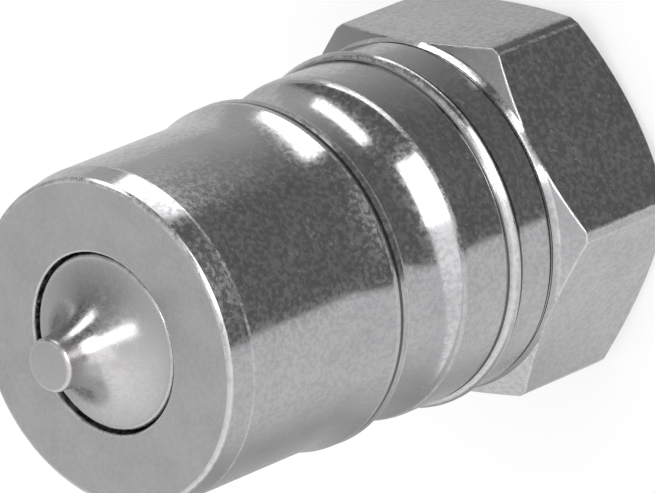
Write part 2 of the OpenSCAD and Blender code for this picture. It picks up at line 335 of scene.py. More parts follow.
@dataclass(frozen=True)
class Wiring:
    """Adds and joins the nodes of one node tree."""

    tree: NodeTree

    def add(self, kind: str, values: dict | None = None, **settings: object) -> Node:
        """Adds a node.

        Args:
            kind: Node type, without the leading "ShaderNode".
            values: Input values or source sockets, by input name or number.
            **settings: Properties set on the node.

        Returns:
            The new node.
        """
        node = self.tree.nodes.new("ShaderNode" + kind)
        node.location = (NODE_GAP * len(self.tree.nodes), 0)
        for key, value in settings.items():
            setattr(node, key, value)
        for key, value in (values or {}).items():
            self.feed(node.inputs[key], value)
        return node

    def place(self, group: NodeTree, **values: object) -> bpy.types.bpy_prop_collection:
        """Places a group in the tree.

        Args:
            group: The group.
            **values: Input values or source sockets, by input name.

        Returns:
            The placed node's outputs.
        """
        node = self.tree.nodes.new("ShaderNodeGroup")
        node.node_tree = group
        for name, value in values.items():
            self.feed(node.inputs[name], value)
        return node.outputs

    def feed(self, target: NodeSocket, value: object) -> None:
        """Links a socket to the target, or sets the target's own value.

        Args:
            target: The input socket.
            value: A source socket, or a plain value.
        """
        if isinstance(value, NodeSocket):
            self.tree.links.new(value, target)
        else:
            target.default_value = value

    def math(self, operation: str, *values: object) -> NodeSocket:
        """Result of a Math node on the values."""
        return self.add("Math", dict(enumerate(values)), operation=operation).outputs[0]

    def ramp(self, value: object, low: float, high: float, start: float = 0.0,
             end: float = 1.0) -> NodeSocket:
        """Maps a value smoothly from one range to another.

        Args:
            value: The value that is mapped.
            low, high: The range that it is mapped from.
            start, end: The range that it is mapped to.

        Returns:
            The mapped value.
        """
        node = self.add("MapRange", {"Value": value, "From Min": low, "From Max": high,
                                     "To Min": start, "To Max": end},
                        interpolation_type="SMOOTHSTEP")
        return node.outputs[0]

    def tint(self, share: object, first: object, second: object) -> NodeSocket:
        """Colour between first and second, by share."""
        node = self.add("Mix", {0: share, 6: first, 7: second}, data_type="RGBA")
        return node.outputs[2]

    def noise(self, coordinates: object, pattern: Pattern) -> NodeSocket:
        """The pattern's plain noise."""
        node = self.add("TexNoise", {"Vector": coordinates, "Scale": 1 / (pattern.size * MM),
                                     "Detail": pattern.detail, "Roughness": pattern.roughness})
        return node.outputs[0]

    def patches(self, coordinates: object, pattern: Pattern) -> NodeSocket:
        """The pattern's noise, from its least value up to 1 over its band."""
        return self.ramp(self.noise(coordinates, pattern), pattern.low, pattern.high, pattern.least)

    def glow(self, level: object) -> NodeSocket:
        """White glow of this level."""
        return self.add("Emission", {"Color": WHITE, "Strength": level}).outputs[0]

    def bump(self, height: object) -> NodeSocket:
        """Normal of a bumped surface whose height is in millimetres."""
        node = self.add("Bump", {"Height": height, "Distance": MM, "Strength": 1.0})
        return node.outputs[0]


@dataclass
class Effects:
    """Surface effects that more than one finish uses, each a node group that is built once.

    Sizes are in millimetres. The nicks are stretched noise that shows where it is near its middle
    value, and the rings waver a little, as a tool does.
    """

    cloud: Pattern = Pattern(3.6, 3.0, 0.6, 0.35, 0.68)
    mottle: Pattern = Pattern(0.5, 3.0, 0.6, 0.41, 0.61)
    specks: Pattern = Pattern(0.55, 2.0, 0.5, 0.64, 0.74)
    grain: Pattern = Pattern(0.30, 2.0, 0.6)
    # patches in which rubbed edges lighten, as rubbing and as a painted highlight
    rub_and_sheen: Pattern = Pattern(0.9, 4.0, 0.7, 0.36, 0.56, 0.25)
    same_mark: float = 0.4
    nick_lines: Pattern = Pattern(0.5, 1.0, 0.4)
    nick_places: Pattern = Pattern(5.0, low=0.55, high=0.70)
    nick_turn: Triple = (0.3, 0.45, 0.9)
    nick_stretch: Triple = (1.0, 1.0, 0.06)
    nick_level: float = 0.5
    nick_width: float = 0.012
    waver: Pattern = Pattern(6.0)
    waver_size: float = 0.03
    ring_detail: float = 3.0
    ring_roughness: float = 0.65

    def __post_init__(self) -> None:
        """Builds the groups."""
        self.turning = self._group("turning_marks", ("Height",), self._turning_marks, "Spacing")
        self.haze = self._group(
            "plating_haze", ("Cloud", "Mottle", "Specks", "Grain"), self._plating_haze)
        # The edge group lightens rubbed edges, partly as a painted highlight, and darkens shaded
        # corners with painted shade.
        self.edge_marks = self._group("edge_wear_sheen_and_shade", ("RubAndSheen", "PaintedShade"), self._edge_wear_sheen_and_shade, "Edge")
        self.scratches = self._group("handling_scratches", ("Mask",), self._scratches)

    @staticmethod
    def _group(name: str, outputs: tuple[str, ...], build: Callable[..., tuple[NodeSocket, ...]],
               value: str = "") -> NodeTree:
        """Makes a group that takes coordinates.

        Args:
            name: Name of the group.
            outputs: Names of its float outputs.
            build: Gives the outputs' sources from the group's wiring and its inputs.
            value: Name of a float input, where there is one.

        Returns:
            The group.
        """
        tree = bpy.data.node_groups.new(name, "ShaderNodeTree")
        sockets = tree.interface
        sockets.new_socket(name="Coordinates", in_out="INPUT", socket_type="NodeSocketVector")
        if value:
            sockets.new_socket(name=value, in_out="INPUT", socket_type="NodeSocketFloat")
        for label in outputs:
            sockets.new_socket(name=label, in_out="OUTPUT", socket_type="NodeSocketFloat")
        wires = Wiring(tree)
        given = [socket for socket in tree.nodes.new("NodeGroupInput").outputs if socket.name]
        end = tree.nodes.new("NodeGroupOutput")
        for label, source in zip(outputs, build(wires, *given)):
            wires.feed(end.inputs[label], source)
        return tree

    def _turning_marks(self, wires: Wiring, place: NodeSocket,
                       spacing: NodeSocket) -> tuple[NodeSocket]:
        """Fine rings that a lathe tool leaves on walls, cones and faces alike.

        Args:
            wires: The group's wiring.
            place: Coordinates.
            spacing: Distance between rings.

        Returns:
            Height of the rings.
        """
        parts = wires.add("SeparateXYZ", {0: place}).outputs
        square = wires.math("ADD", wires.math("MULTIPLY", parts[0], parts[0]),
                            wires.math("MULTIPLY", parts[1], parts[1]))
        along = wires.math("ADD", wires.math("SQRT", square), parts[2])
        waver = wires.math("MULTIPLY", wires.noise(place, self.waver), self.waver_size * MM)
        turn = wires.math("DIVIDE", wires.math("ADD", along, waver), spacing)
        rings = wires.add("TexNoise", {"W": turn, "Scale": 1.0, "Detail": self.ring_detail,
                                       "Roughness": self.ring_roughness}, noise_dimensions="1D")
        return (rings.outputs[0],)

    def _plating_haze(self, wires: Wiring, place: NodeSocket) -> tuple[NodeSocket, ...]:
        """Cloudy plating: broad clouds, a fine mottle, sparse dull specks and grain."""
        return (wires.patches(place, self.cloud), wires.patches(place, self.mottle),
                wires.patches(place, self.specks), wires.noise(place, self.grain))

    def _edge_wear_sheen_and_shade(self, wires: Wiring, place: NodeSocket,
                   edge: NodeSocket) -> tuple[NodeSocket, ...]:
        """Broken bright rubbing along rubbed edges, which also lightens them as a painted
        highlight, and painted shade along the shaded corners.

        Args:
            wires: The group's wiring.
            place: Coordinates.
            edge: The edge layer's value.

        Returns:
            Shares of rubbing with its painted highlight, and of painted shade.
        """
        worn_and_sheen, shaded = (wires.math("COMPARE", edge, mark.value, self.same_mark)
                        for mark in (Mark.WORN_AND_SHEEN, Mark.PAINTED_SHADE))
        return wires.math("MULTIPLY", worn_and_sheen, wires.patches(place, self.rub_and_sheen)), shaded

    def _scratches(self, wires: Wiring, place: NodeSocket) -> tuple[NodeSocket]:
        """Short handling scratches that run with the axis.

        Args:
            wires: The group's wiring.
            place: Coordinates.

        Returns:
            Where the scratches are.
        """
        turned = wires.add("Mapping", {"Vector": place, "Rotation": self.nick_turn,
                                       "Scale": self.nick_stretch}).outputs[0]
        middle = wires.math("SUBTRACT", wires.noise(turned, self.nick_lines), self.nick_level)
        line = wires.ramp(wires.math("ABSOLUTE", middle), 0.0, self.nick_width)
        thin = wires.math("SUBTRACT", 1.0, line)
        return (wires.math("MULTIPLY", thin, wires.patches(place, self.nick_places)),)


def new_material(name: str) -> tuple[Material, Wiring, Node, NodeSocket]:
    """Starts a material.

    Args:
        name: Name of the material.

    Returns:
        The material, its wiring, its Principled shader and its object coordinates.
    """
    material = bpy.data.materials.new(name)
    material.use_nodes = True
    wires = Wiring(material.node_tree)
    shader = material.node_tree.nodes["Principled BSDF"]
    return material, wires, shader, wires.add("TexCoord").outputs["Object"]


@dataclass(frozen=True)
class SteelFinish:
    """A steel surface as plated, turned or drawn.

    Args:
        name: Name of the material.
        colour: Reflected colour of clean metal.
        dull: Colour of hazed or stained metal.
        roughness: Roughness of clean metal.
        haze: How much rougher the dull mottle is.
        film: Share of matt film where the mottle is thickest.
        flats: How much rougher the level faces are.
        marks: Height of the tool's rings, in millimetres.
        spacing: Distance between rings, in millimetres.
        grain: Height of the plating's grain, in millimetres.
        edge_marks: Share of rubbing and painted highlight on the rubbed edges.

    The rest are the same for every steel: gains and shares of rubbing with its painted highlight,
    mottle, specks, rings, scratches and painted shade, with the scratches' depth in millimetres.
    """

    name: str
    colour: Triple
    dull: Triple
    roughness: float
    haze: float
    film: float
    flats: float
    marks: float
    spacing: float
    grain: float
    edge_marks: float
    # how much lighter rubbed edges are: real rubbing and a painted highlight
    rub_sheen_gain: float = 1.25
    rub_film: float = 0.4
    rub_roughness: float = 0.16
    mottle_share: float = 0.6
    speck_gain: float = 1.4
    ring_roughness: float = 0.06
    nick_share: float = 0.4
    nick_depth: float = 0.001
    # near-black colour of the painted shade in creases
    painted_shade: Triple = (0.05, 0.048, 0.045)
    painted_shade_share: float = 0.85

    def build(self, effects: Effects) -> Material:
        """Builds the material.

        Args:
            effects: The shared effect groups.

        Returns:
            The material.
        """
        material, wires, shader, place = new_material(self.name)
        haze = wires.place(effects.haze, Coordinates=place)
        rings = wires.place(effects.turning, Coordinates=place, Spacing=self.spacing * MM)["Height"]
        edge, level = (wires.add("Attribute", attribute_name=layer).outputs["Fac"]
                       for layer in (EDGE_LAYER, FLAT_LAYER))
        edges = wires.place(effects.edge_marks, Coordinates=place, Edge=edge)
        rub_and_sheen = wires.math("MULTIPLY", edges["RubAndSheen"], self.edge_marks)
        nicks = wires.place(effects.scratches, Coordinates=place)["Mask"]
        # Rubbed edges are lightened: real rubbing, and a painted highlight where they catch light.
        bright = tuple(min(1.0, part * self.rub_sheen_gain) for part in self.colour)
        clouds = wires.math("MULTIPLY", haze["Cloud"], 1 - self.mottle_share)
        stain = wires.math("MULTIPLY_ADD", haze["Mottle"], self.mottle_share, clouds)
        colour = wires.tint(stain, (*self.colour, 1), (*self.dull, 1))
        shine = wires.math("MAXIMUM", rub_and_sheen, wires.math("MULTIPLY", nicks, self.nick_share))
        colour = wires.tint(shine, colour, (*bright, 1))
        # The shaded corners are darkened to near black: painted shade in the creases.
        colour = wires.tint(wires.math("MULTIPLY", edges["PaintedShade"], self.painted_shade_share),
                            colour, (*self.painted_shade, 1))
        film = wires.math("MULTIPLY", wires.math(
            "MULTIPLY_ADD", haze["Specks"], self.speck_gain, haze["Mottle"]), self.film)
        film = wires.math("MULTIPLY_ADD", rub_and_sheen, self.rub_film, film)
        rough = wires.math("MULTIPLY_ADD", haze["Mottle"], self.haze, self.roughness)
        for share, gain in ((level, self.flats), (rings, self.ring_roughness),
                            (rub_and_sheen, self.rub_roughness)):
            rough = wires.math("MULTIPLY_ADD", share, gain, rough)
        height = wires.math("ADD", wires.math("MULTIPLY", rings, self.marks),
                            wires.math("MULTIPLY", haze["Grain"], self.grain))
        height = wires.math("SUBTRACT", height, wires.math("MULTIPLY", nicks, self.nick_depth))
        wires.feed(shader.inputs["Base Color"], colour)
        wires.feed(shader.inputs["Roughness"], rough)
        wires.feed(shader.inputs["Normal"], wires.bump(height))
        wires.feed(shader.inputs["Metallic"], wires.math("SUBTRACT", 1.0, film))
        return material


@dataclass(frozen=True)
class MouldedFinish:
    """Moulded rubber or plastic with a faint bloom.

    Args:
        name: Name of the material.
        colour: Colour of the clean material.
        bloom: Colour of the bloom.
        roughness: Roughness of the clean material.
        bloom_share: How much the bloom covers.
        speck_roughness: How much rougher the specks are.
        grain: Height of the mould's grain, in millimetres.
    """

    name: str
    colour: Triple
    bloom: Triple
    roughness: float
    bloom_share: float = 0.6
    speck_roughness: float = 0.15
    grain: float = 0.006

    def build(self, effects: Effects) -> Material:
        """Builds the material.

        Args:
            effects: The shared effect groups.

        Returns:
            The material.
        """
        material, wires, shader, place = new_material(self.name)
        haze = wires.place(effects.haze, Coordinates=place)
        colour = wires.tint(wires.math("MULTIPLY", haze["Cloud"], self.bloom_share),
                            (*self.colour, 1), (*self.bloom, 1))
        rough = wires.math("MULTIPLY", haze["Specks"], self.speck_roughness)
        wires.feed(shader.inputs["Base Color"], colour)
        wires.feed(shader.inputs["Roughness"], wires.math("ADD", self.roughness, rough))
        grain = wires.math("MULTIPLY", haze["Grain"], self.grain)
        wires.feed(shader.inputs["Normal"], wires.bump(grain))
        return material


ZINC = (0.47, 0.465, 0.475)
DULL_ZINC = (0.385, 0.38, 0.39)


@dataclass(frozen=True)
class Finishes:
    """Every finish of the coupler."""

    body: SteelFinish = SteelFinish(
        "zinc_plated_body", ZINC, DULL_ZINC, roughness=0.10, haze=0.09, film=0.20, flats=0.16,
        marks=0.0008, spacing=0.11, grain=0.0006, edge_marks=0.8)
    adapter: SteelFinish = SteelFinish(
        "zinc_plated_adapter", ZINC, DULL_ZINC, roughness=0.12, haze=0.10, film=0.22, flats=0.10,
        marks=0.0006, spacing=0.16, grain=0.0008, edge_marks=0.8)
    poppet: SteelFinish = SteelFinish(
        "turned_poppet", (0.48, 0.47, 0.475), (0.44, 0.43, 0.435), roughness=0.17, haze=0.08,
        film=0.12, flats=0.12, marks=0.0012, spacing=0.09, grain=0.0005, edge_marks=0.6)
    guide: SteelFinish = SteelFinish(
        "stamped_guide", (0.42, 0.42, 0.42), (0.34, 0.34, 0.35), roughness=0.30, haze=0.20,
        film=0.15, flats=0.0, marks=0.0006, spacing=0.2, grain=0.0016, edge_marks=0.0)
    spring: SteelFinish = SteelFinish(
        "drawn_spring_wire", (0.36, 0.35, 0.34), (0.26, 0.25, 0.25), roughness=0.26, haze=0.16,
        film=0.10, flats=0.0, marks=0.0002, spacing=0.3, grain=0.0010, edge_marks=0.0)
    rubber: MouldedFinish = MouldedFinish(
        "nitrile_rubber", (0.018, 0.018, 0.019), (0.035, 0.035, 0.036), roughness=0.42)
    backup: MouldedFinish = MouldedFinish(
        "backup_plastic", (0.72, 0.70, 0.64), (0.62, 0.60, 0.54), roughness=0.35)


# ------------------------ the coupler


@dataclass
class Piece:
    """What every piece of the coupler shares: its name, node, body, slot and material."""

    name: str
    node: str
    body: Body
    slot: Slot

    def form(self) -> BMesh:
        """The piece's shape."""
        raise NotImplementedError

    def build(self, material: Material) -> Object:
        """Makes the piece, dresses it and puts it in its node's place.

        Args:
            material: Its finish.

        Returns:
            The finished object.
        """
        piece = make_piece(self.name, self.form())
        piece.data.materials.append(material)
        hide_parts(self.node)
        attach(piece, self.body.value)
        log.info("%s: %d faces for %s", piece.name, len(piece.data.polygons), self.node)
        return piece


@dataclass
class TurnedPiece(Piece):
    """A piece turned from one outline, with what is cut into it afterwards."""

    around: int = 96
    closed: bool = True

    def outline(self) -> list[Corner | Hollow]:
        """The outline of the piece, in order."""
        raise NotImplementedError

    def cut(self, shape: BMesh) -> None:
        """Cuts what isn't turned, which is nothing unless a piece says so."""

    def form(self) -> BMesh:
        """Turns the outline, and cuts what isn't turned.

        Returns:
            The shape.
        """
        shape = turn_outline(self.outline(), self.around, self.closed)
        self.cut(shape)
        return shape


@dataclass
class NoseBody(TurnedPiece):
    """The turned nose body: nose, locking groove, band, collar and neck, and the valve seat."""

    name: str = "nose_body_turned"
    node: str = "nose_body"
    body: Body = Body.PLUG
    slot: Slot = Slot.BODY
    around: int = 192
    neck_radius: float = 16.55
    collar_radius: float = 16.9
    band_radius: float = 16.25
    groove_radius: float = 14.5
    ring_radius: float = 16.35
    nose_radius: float = 15.7
    face_radius: float = 15.25
    mouth_radius: float = 8.45
    chamber_radius: float = 11.7
    guide_bore_radius: float = 12.7
    clip_groove_radius: float = 13.5
    thread_radius: float = 13.2
    recess_radius: float = 14.65
    foot: float = 14.7
    collar_bottom: float = 19.8
    collar_top: float = 20.5
    band_bottom: float = 21.0
    band_top: float = 26.6
    groove_bottom: float = 31.9
    groove_top: float = 33.1
    ring_bottom: float = 34.4
    ring_top: float = 35.9
    ring_dip: float = 0.12
    flare_top: float = 40.6
    lead_bottom: float = 54.3
    top: float = 57.0
    seat_bottom: float = 55.5
    chamber_top: float = 52.25
    guide_top: float = 27.2
    guide_bottom: float = 25.2
    clip_bottom: float = 23.9
    guide_bore_bottom: float = 23.6
    recess_top: float = 17.9
    relief: float = 0.15
    relief_floor: Pair = (0.2, 0.5)
    relief_end: float = 0.75
    collar_lip: float = 0.18
    collar_taper: float = 0.27
    band_foot: float = 0.25
    band_edge: tuple[Triple, ...] = (
        (0.0, -0.45, 0.23), (0.08, 0.02, 0.23), (0.255, 0.465, 0.22))
    sweep_start: Pair = (0.4, 0.7)
    ring_valley: float = 0.55
    flare_start: Pair = (0.03, 0.2)

    def outline(self) -> list[Corner | Hollow]:
        """The outside up to the face, and the inside back down."""
        return self.outside() + self.inside()

    def outside(self) -> list[Corner | Hollow]:
        """Outline of the outside, from the hexagon up to the face.

        Returns:
            Corners and sweeps, in order.
        """
        # Rubbed corners get a painted highlight besides their rubbing; shaded corners get a dark
        # line of painted shade in the creases at the foot, under the collar, at the band's foot and
        # in the ring's valley.
        shaded, worn_and_sheen = Mark.PAINTED_SHADE, Mark.WORN_AND_SHEEN
        neck, collar = self.neck_radius, self.collar_radius
        band, ring = self.band_radius, self.ring_radius
        floor, bend = self.relief_floor
        shallow = self.relief / 2
        edge = [Corner(band - inset, self.band_top + rise, rounding, mark)
                for (inset, rise, rounding), mark in zip(
                    self.band_edge, (Mark.PLAIN, worn_and_sheen, Mark.PLAIN))]
        return [
            Corner(neck - self.relief, self.foot + floor),
            Corner(neck - self.relief, self.foot + bend, SMALL_ROUND, shaded),
            Corner(neck, self.foot + self.relief_end, EDGE_BREAK),
            Corner(neck, self.collar_bottom - self.relief_end),
            Corner(neck - shallow, self.collar_bottom - bend, SMALL_ROUND, shaded),
            Corner(neck - shallow, self.collar_bottom),
            Corner(collar, self.collar_bottom, FINE_BREAK),
            Corner(collar, self.collar_bottom + self.collar_lip, FINE_BREAK, worn_and_sheen),
            Corner(collar - self.collar_taper, self.collar_top, SOFT_ROUND, worn_and_sheen),
            Corner(band - shallow, self.collar_top + self.band_foot, SHADE_LINE_ROUND, shaded),
            Corner(band, self.band_bottom + EDGE_BREAK, EDGE_BREAK),
            *edge,
            Hollow(self.groove_radius, self.groove_bottom,
                   band - self.sweep_start[0], self.band_top + self.sweep_start[1]),
            Corner(self.groove_radius, self.groove_top, BROAD_ROUND),
            Corner(ring + self.ring_dip / 2, self.ring_bottom, RING_ROUND, worn_and_sheen),
            Corner(ring - self.ring_dip, self.ring_top - self.ring_valley, SOFT_ROUND, shaded),
            Corner(ring, self.ring_top, LIP_ROUND, worn_and_sheen),
            Hollow(self.nose_radius, self.flare_top,
                   ring - self.flare_start[0], self.ring_top + self.flare_start[1]),
            Corner(self.nose_radius, self.lead_bottom, LIP_ROUND, worn_and_sheen),
            Corner(self.face_radius, self.top, BROAD_ROUND, worn_and_sheen, SMOOTH),
        ]

    def inside(self) -> list[Corner]:
        """Corners of the inside, from the face down to the joint.

        Returns:
            The corners, in order.
        """
        bore = self.guide_bore_radius
        steps = ((bore, self.guide_top, self.guide_bottom),
                 (self.clip_groove_radius, self.guide_bottom, self.clip_bottom),
                 (bore, self.clip_bottom, self.guide_bore_bottom),
                 (self.thread_radius, self.guide_bore_bottom, self.recess_top),
                 (self.recess_radius, self.recess_top, self.foot))
        return [
            # The mouth's edge is marked as rubbed, with a painted highlight along it.
            Corner(self.mouth_radius, self.top, SOFT_ROUND, Mark.WORN_AND_SHEEN, SMOOTH),
            Corner(self.mouth_radius, self.seat_bottom, SOFT_ROUND),
            Corner(self.chamber_radius, self.chamber_top, SWEEP_ROUND),
            Corner(self.chamber_radius, self.guide_top),
            *(Corner(radius, height,
                     EDGE_BREAK if (radius, height) == (bore, self.clip_bottom) else 0.0)
              for radius, *heights in steps for height in heights),
        ]


@dataclass
class HexAdapter(TurnedPiece):
    """The port adapter: a chamfered hexagon with a threaded port and the spigot of the joint."""

    name: str = "hex_adapter_turned"
    node: str = "hex_adapter"
    body: Body = Body.PLUG
    slot: Slot = Slot.ADAPTER
    around: int = 168
    half_across_flats: float = 16.65
    chamfer_radius: float = 15.9
    chamfer_angle: float = 30.0
    length: float = 14.7
    shoulder_radius: float = 16.75
    foot_radius: float = 16.45
    foot_rise: float = 0.2
    edge_rounding: float = 0.16
    rounding_steps: int = 3
    corner_land: float = 0.55
    sharpest_smooth: float = 20.0
    flat_margin: float = 0.995
    upright: float = 1.0
    blank_spare: float = 0.25
    neck_radius: float = 12.75
    spigot_minor: float = 13.1
    spigot_major: float = 13.9
    spigot_pitch: float = 1.5
    spigot_foot: float = 18.0
    joint_bottom: float = 17.9
    joint_top: float = 23.3
    passage_radius: float = 11.0
    port_minor: float = 12.06
    port_major: float = 13.22
    port_pitch: float = 1.814
    port_length: float = 13.2

    def outline(self) -> list[Corner]:
        """Corners of the turned blank, before its six flats are cut.

        Returns:
            The corners, in order.
        """
        slant = math.tan(math.radians(self.chamfer_angle))
        blank = self.half_across_flats / math.cos(TURN / 12) + self.blank_spare
        rise = (blank - self.chamfer_radius) * slant
        bore_end = self.port_length + self.port_pitch / 2
        mouth = self.port_major - self.port_minor + self.blank_spare
        spigot = [corner for corner in thread_corners(
            self.spigot_minor, self.spigot_major, self.spigot_pitch, self.joint_bottom,
            self.joint_top) if corner.height > self.spigot_foot]
        port = list(thread_corners(
            self.port_minor, self.port_major, self.port_pitch, self.port_pitch / 2,
            self.port_length))
        first = port[0]
        slope = (port[1].radius - first.radius) / (port[1].height - first.height)
        meet = (mouth + slope * first.height) / (1 + slope)
        shoulder = (self.shoulder_radius - self.chamfer_radius) * slant
        return [
            # The chamfer's edge and the port's mouth are marked as rubbed, with a painted highlight
            # along them.
            Corner(self.chamfer_radius, 0.0, EDGE_BREAK, Mark.WORN_AND_SHEEN),
            Corner(blank, rise),
            Corner(blank, self.length - rise),
            Corner(self.shoulder_radius, self.length - shoulder, SMALL_ROUND),
            Corner(self.foot_radius, self.length + self.foot_rise),
            Corner(self.foot_radius - self.foot_rise, self.length),
            Corner(self.neck_radius, self.length),
            Corner(self.neck_radius, self.spigot_foot),
            *spigot,
            Corner(self.spigot_minor, self.joint_top, SOFT_ROUND),
            Corner(self.passage_radius, self.joint_top, SOFT_ROUND),
            Corner(self.passage_radius, bore_end + self.port_minor - self.passage_radius),
            Corner(self.port_minor, bore_end),
            *reversed(port[1:]),
            Corner(self.port_minor + mouth - meet, meet),
            Corner(self.port_minor + mouth, 0.0, EDGE_BREAK, Mark.WORN_AND_SHEEN),
        ]

    def cut(self, shape: BMesh) -> None:
        """Cuts the six flats and rounds their edges.

        Args:
            shape: The turned blank.
        """
        for side in range(6):
            angle = TURN * (side + 0.5) / 6
            outward = Vector((math.cos(angle), math.sin(angle), 0.0))
            made = bmesh.ops.bisect_plane(
                shape, geom=shape.verts[:] + shape.edges[:] + shape.faces[:], dist=SAME_PLANE,
                plane_co=outward * self.half_across_flats * MM, plane_no=outward, clear_outer=True)
            rim = [item for item in made["geom_cut"] if isinstance(item, BMEdge)]
            bmesh.ops.edgeloop_fill(shape, edges=rim)
        bmesh.ops.recalc_face_normals(shape, faces=shape.faces[:])
        self.round_edges(shape)

    def round_edges(self, shape: BMesh) -> None:
        """Cuts a narrow land on each of the six corners, then rounds all the edges of the flats.

        Args:
            shape: The blank with its flats.
        """
        near_flat = self.half_across_flats * MM * self.flat_margin
        steepest = math.cos(math.radians(self.upright))
        # The land stays plain; the edge roundings are marked as rubbed, with a painted highlight
        # along them.
        for offset, steps, mark in ((self.corner_land, 1, Mark.PLAIN),
                                    (self.edge_rounding, self.rounding_steps, Mark.WORN_AND_SHEEN)):
            sharp = [edge for edge in shape.edges
                     if edge.calc_face_angle(0.0) > math.radians(self.sharpest_smooth)
                     and all(math.hypot(v.co.x, v.co.y) > near_flat for v in edge.verts)
                     and (mark is Mark.WORN_AND_SHEEN
                          or abs((edge.verts[0].co - edge.verts[1].co).normalized().z) > steepest)]
            made = bmesh.ops.bevel(
                shape, geom=sharp, offset=offset * MM, offset_type="OFFSET", segments=steps,
                profile=0.5, affect="EDGES", material=-1, clamp_overlap=False)
            worn_and_sheen = shape.faces.layers.float[EDGE_LAYER]
            for face in made["faces"]:
                face[worn_and_sheen] = mark.value


@dataclass
class Poppet(TurnedPiece):
    """The sealing poppet: flat tip, hollow sweep, rim, seal slot, flange, boss and stem."""

    name: str = "poppet_turned"
    node: str = "poppet"
    body: Body = Body.VALVE
    slot: Slot = Slot.POPPET
    around: int = 128
    closed: bool = False
    tip_radius: float = 2.5
    tip_top: float = 64.03
    sweep_top: float = 63.43
    rim_radius: float = 8.15
    rim_top: float = 56.7
    rim_bottom: float = 55.5
    slot_top: float = 53.786
    slot_bottom: float = 51.886
    slot_radius: float = 8.75
    flange_radius: float = 10.4
    flange_bottom: float = 50.0
    boss_radius: float = 5.2
    boss_bottom: float = 47.5
    stem_radius: float = 2.5
    stem_bottom: float = 21.85
    rim_inset: float = 0.4

    def outline(self) -> list[Corner | Hollow]:
        """Outline from the tip on the axis round to the stem's end on the axis.

        Returns:
            Corners and sweeps, in order.
        """
        seat_sum = self.rim_bottom + self.rim_radius
        return [
            Corner(0.0, self.tip_top),
            # The tip's and the rim's edges are marked as rubbed, with a painted highlight along
            # them.
            Corner(self.tip_radius, self.tip_top, SHOWN_ROUND, Mark.WORN_AND_SHEEN, SMOOTH),
            Hollow(self.tip_radius, self.sweep_top, self.rim_radius - self.rim_inset, self.rim_top,
                   from_wall=True),
            Corner(self.rim_radius, self.rim_top, SHOWN_ROUND, Mark.WORN_AND_SHEEN, SMOOTH),
            Corner(self.rim_radius, self.rim_bottom, EDGE_BREAK),
            Corner(seat_sum - self.slot_top, self.slot_top, FINE_BREAK),
            Corner(self.slot_radius, self.slot_top),
            Corner(self.slot_radius, self.slot_bottom),
            Corner(self.flange_radius, self.slot_bottom, WIDE_ROUND),
            Corner(self.flange_radius, self.flange_bottom, EDGE_BREAK),
            Corner(self.boss_radius, self.flange_bottom),
            Corner(self.boss_radius, self.boss_bottom, SOFT_ROUND),
            Corner(self.stem_radius, self.boss_bottom),
            Corner(self.stem_radius, self.stem_bottom, WIDE_ROUND),
            Corner(0.0, self.stem_bottom),
        ]


@dataclass
class SealRing(Piece):
    """A moulded O-ring."""

    slot: Slot = Slot.RUBBER
    centre_radius: float = 9.7
    thickness: float = 1.8
    height: float = 52.836
    around: int = 96
    sides: int = 24

    def form(self) -> BMesh:
        """Spins a round section about the axis.

        Returns:
            The shape.
        """
        shape = bmesh.new()
        place = Matrix.Translation((self.centre_radius * MM, 0, self.height * MM))
        bmesh.ops.create_circle(shape, segments=self.sides, radius=self.thickness / 2 * MM,
                                matrix=place @ Matrix.Rotation(TURN / 4, 4, "X"))
        spin_about_axis(shape, shape.verts[:] + shape.edges[:], self.around)
        bmesh.ops.recalc_face_normals(shape, faces=shape.faces[:])
        return shape


@dataclass
class BackupRing(TurnedPiece):
    """The flat ring that holds the joint's O-ring off the gap."""

    name: str = "joint_backup_ring_turned"
    node: str = "joint_backup_ring"
    body: Body = Body.PLUG
    slot: Slot = Slot.BACKUP
    inner_radius: float = 12.8
    outer_radius: float = 14.6
    foot: float = 14.7
    thickness: float = 1.0

    def outline(self) -> list[Corner]:
        """The ring's four corners.

        Returns:
            The corners, in order.
        """
        top = self.foot + self.thickness
        return [Corner(radius, height, EDGE_BREAK) for radius, height in (
            (self.inner_radius, self.foot), (self.outer_radius, self.foot),
            (self.outer_radius, top), (self.inner_radius, top))]


@dataclass
class ValveSpring(Piece):
    """The compression spring, wound with a close turn at each end."""

    name: str = "valve_spring_wound"
    node: str = "valve_spring"
    body: Body = Body.PLUG
    slot: Slot = Slot.SPRING
    coil_radius: float = 6.6
    wire_radius: float = 0.75
    foot: float = 27.35
    top: float = 49.85
    turns: int = 7
    end_pitch: float = 2.05
    turn_steps: int = 48
    sides: int = 14
    travel: float = 7.0

    def form(self) -> BMesh:
        """Winds the wire and caps its ends.

        Returns:
            The shape.
        """
        shape = bmesh.new()
        start = Matrix.Translation((self.coil_radius * MM, 0, (self.foot + self.wire_radius) * MM))
        bmesh.ops.create_circle(shape, segments=self.sides, radius=self.wire_radius * MM,
                                cap_ends=True, matrix=start @ Matrix.Rotation(TURN / 4, 4, "X"))
        live_turns = self.turns - 2
        rise = self.top - self.foot - 2 * self.wire_radius - 2 * self.end_pitch
        end = shape.faces[:]
        for turns, pitch in ((1, self.end_pitch), (live_turns, rise / live_turns),
                             (1, self.end_pitch)):
            last = spin_about_axis(shape, end, turns * self.turn_steps, TURN * turns,
                                   pitch / self.turn_steps)
            end = [item for item in last if isinstance(item, BMFace)]
        bmesh.ops.remove_doubles(shape, verts=shape.verts[:], dist=SAME_POINT)
        bmesh.ops.recalc_face_normals(shape, faces=shape.faces[:])
        return shape

    def build(self, material: Material) -> Object:
        """Builds the spring, and gives it a mesh of its own.

        Args:
            material: Its finish.

        Returns:
            The finished object.
        """
        spring = super().build(material)
        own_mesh(spring)
        return spring


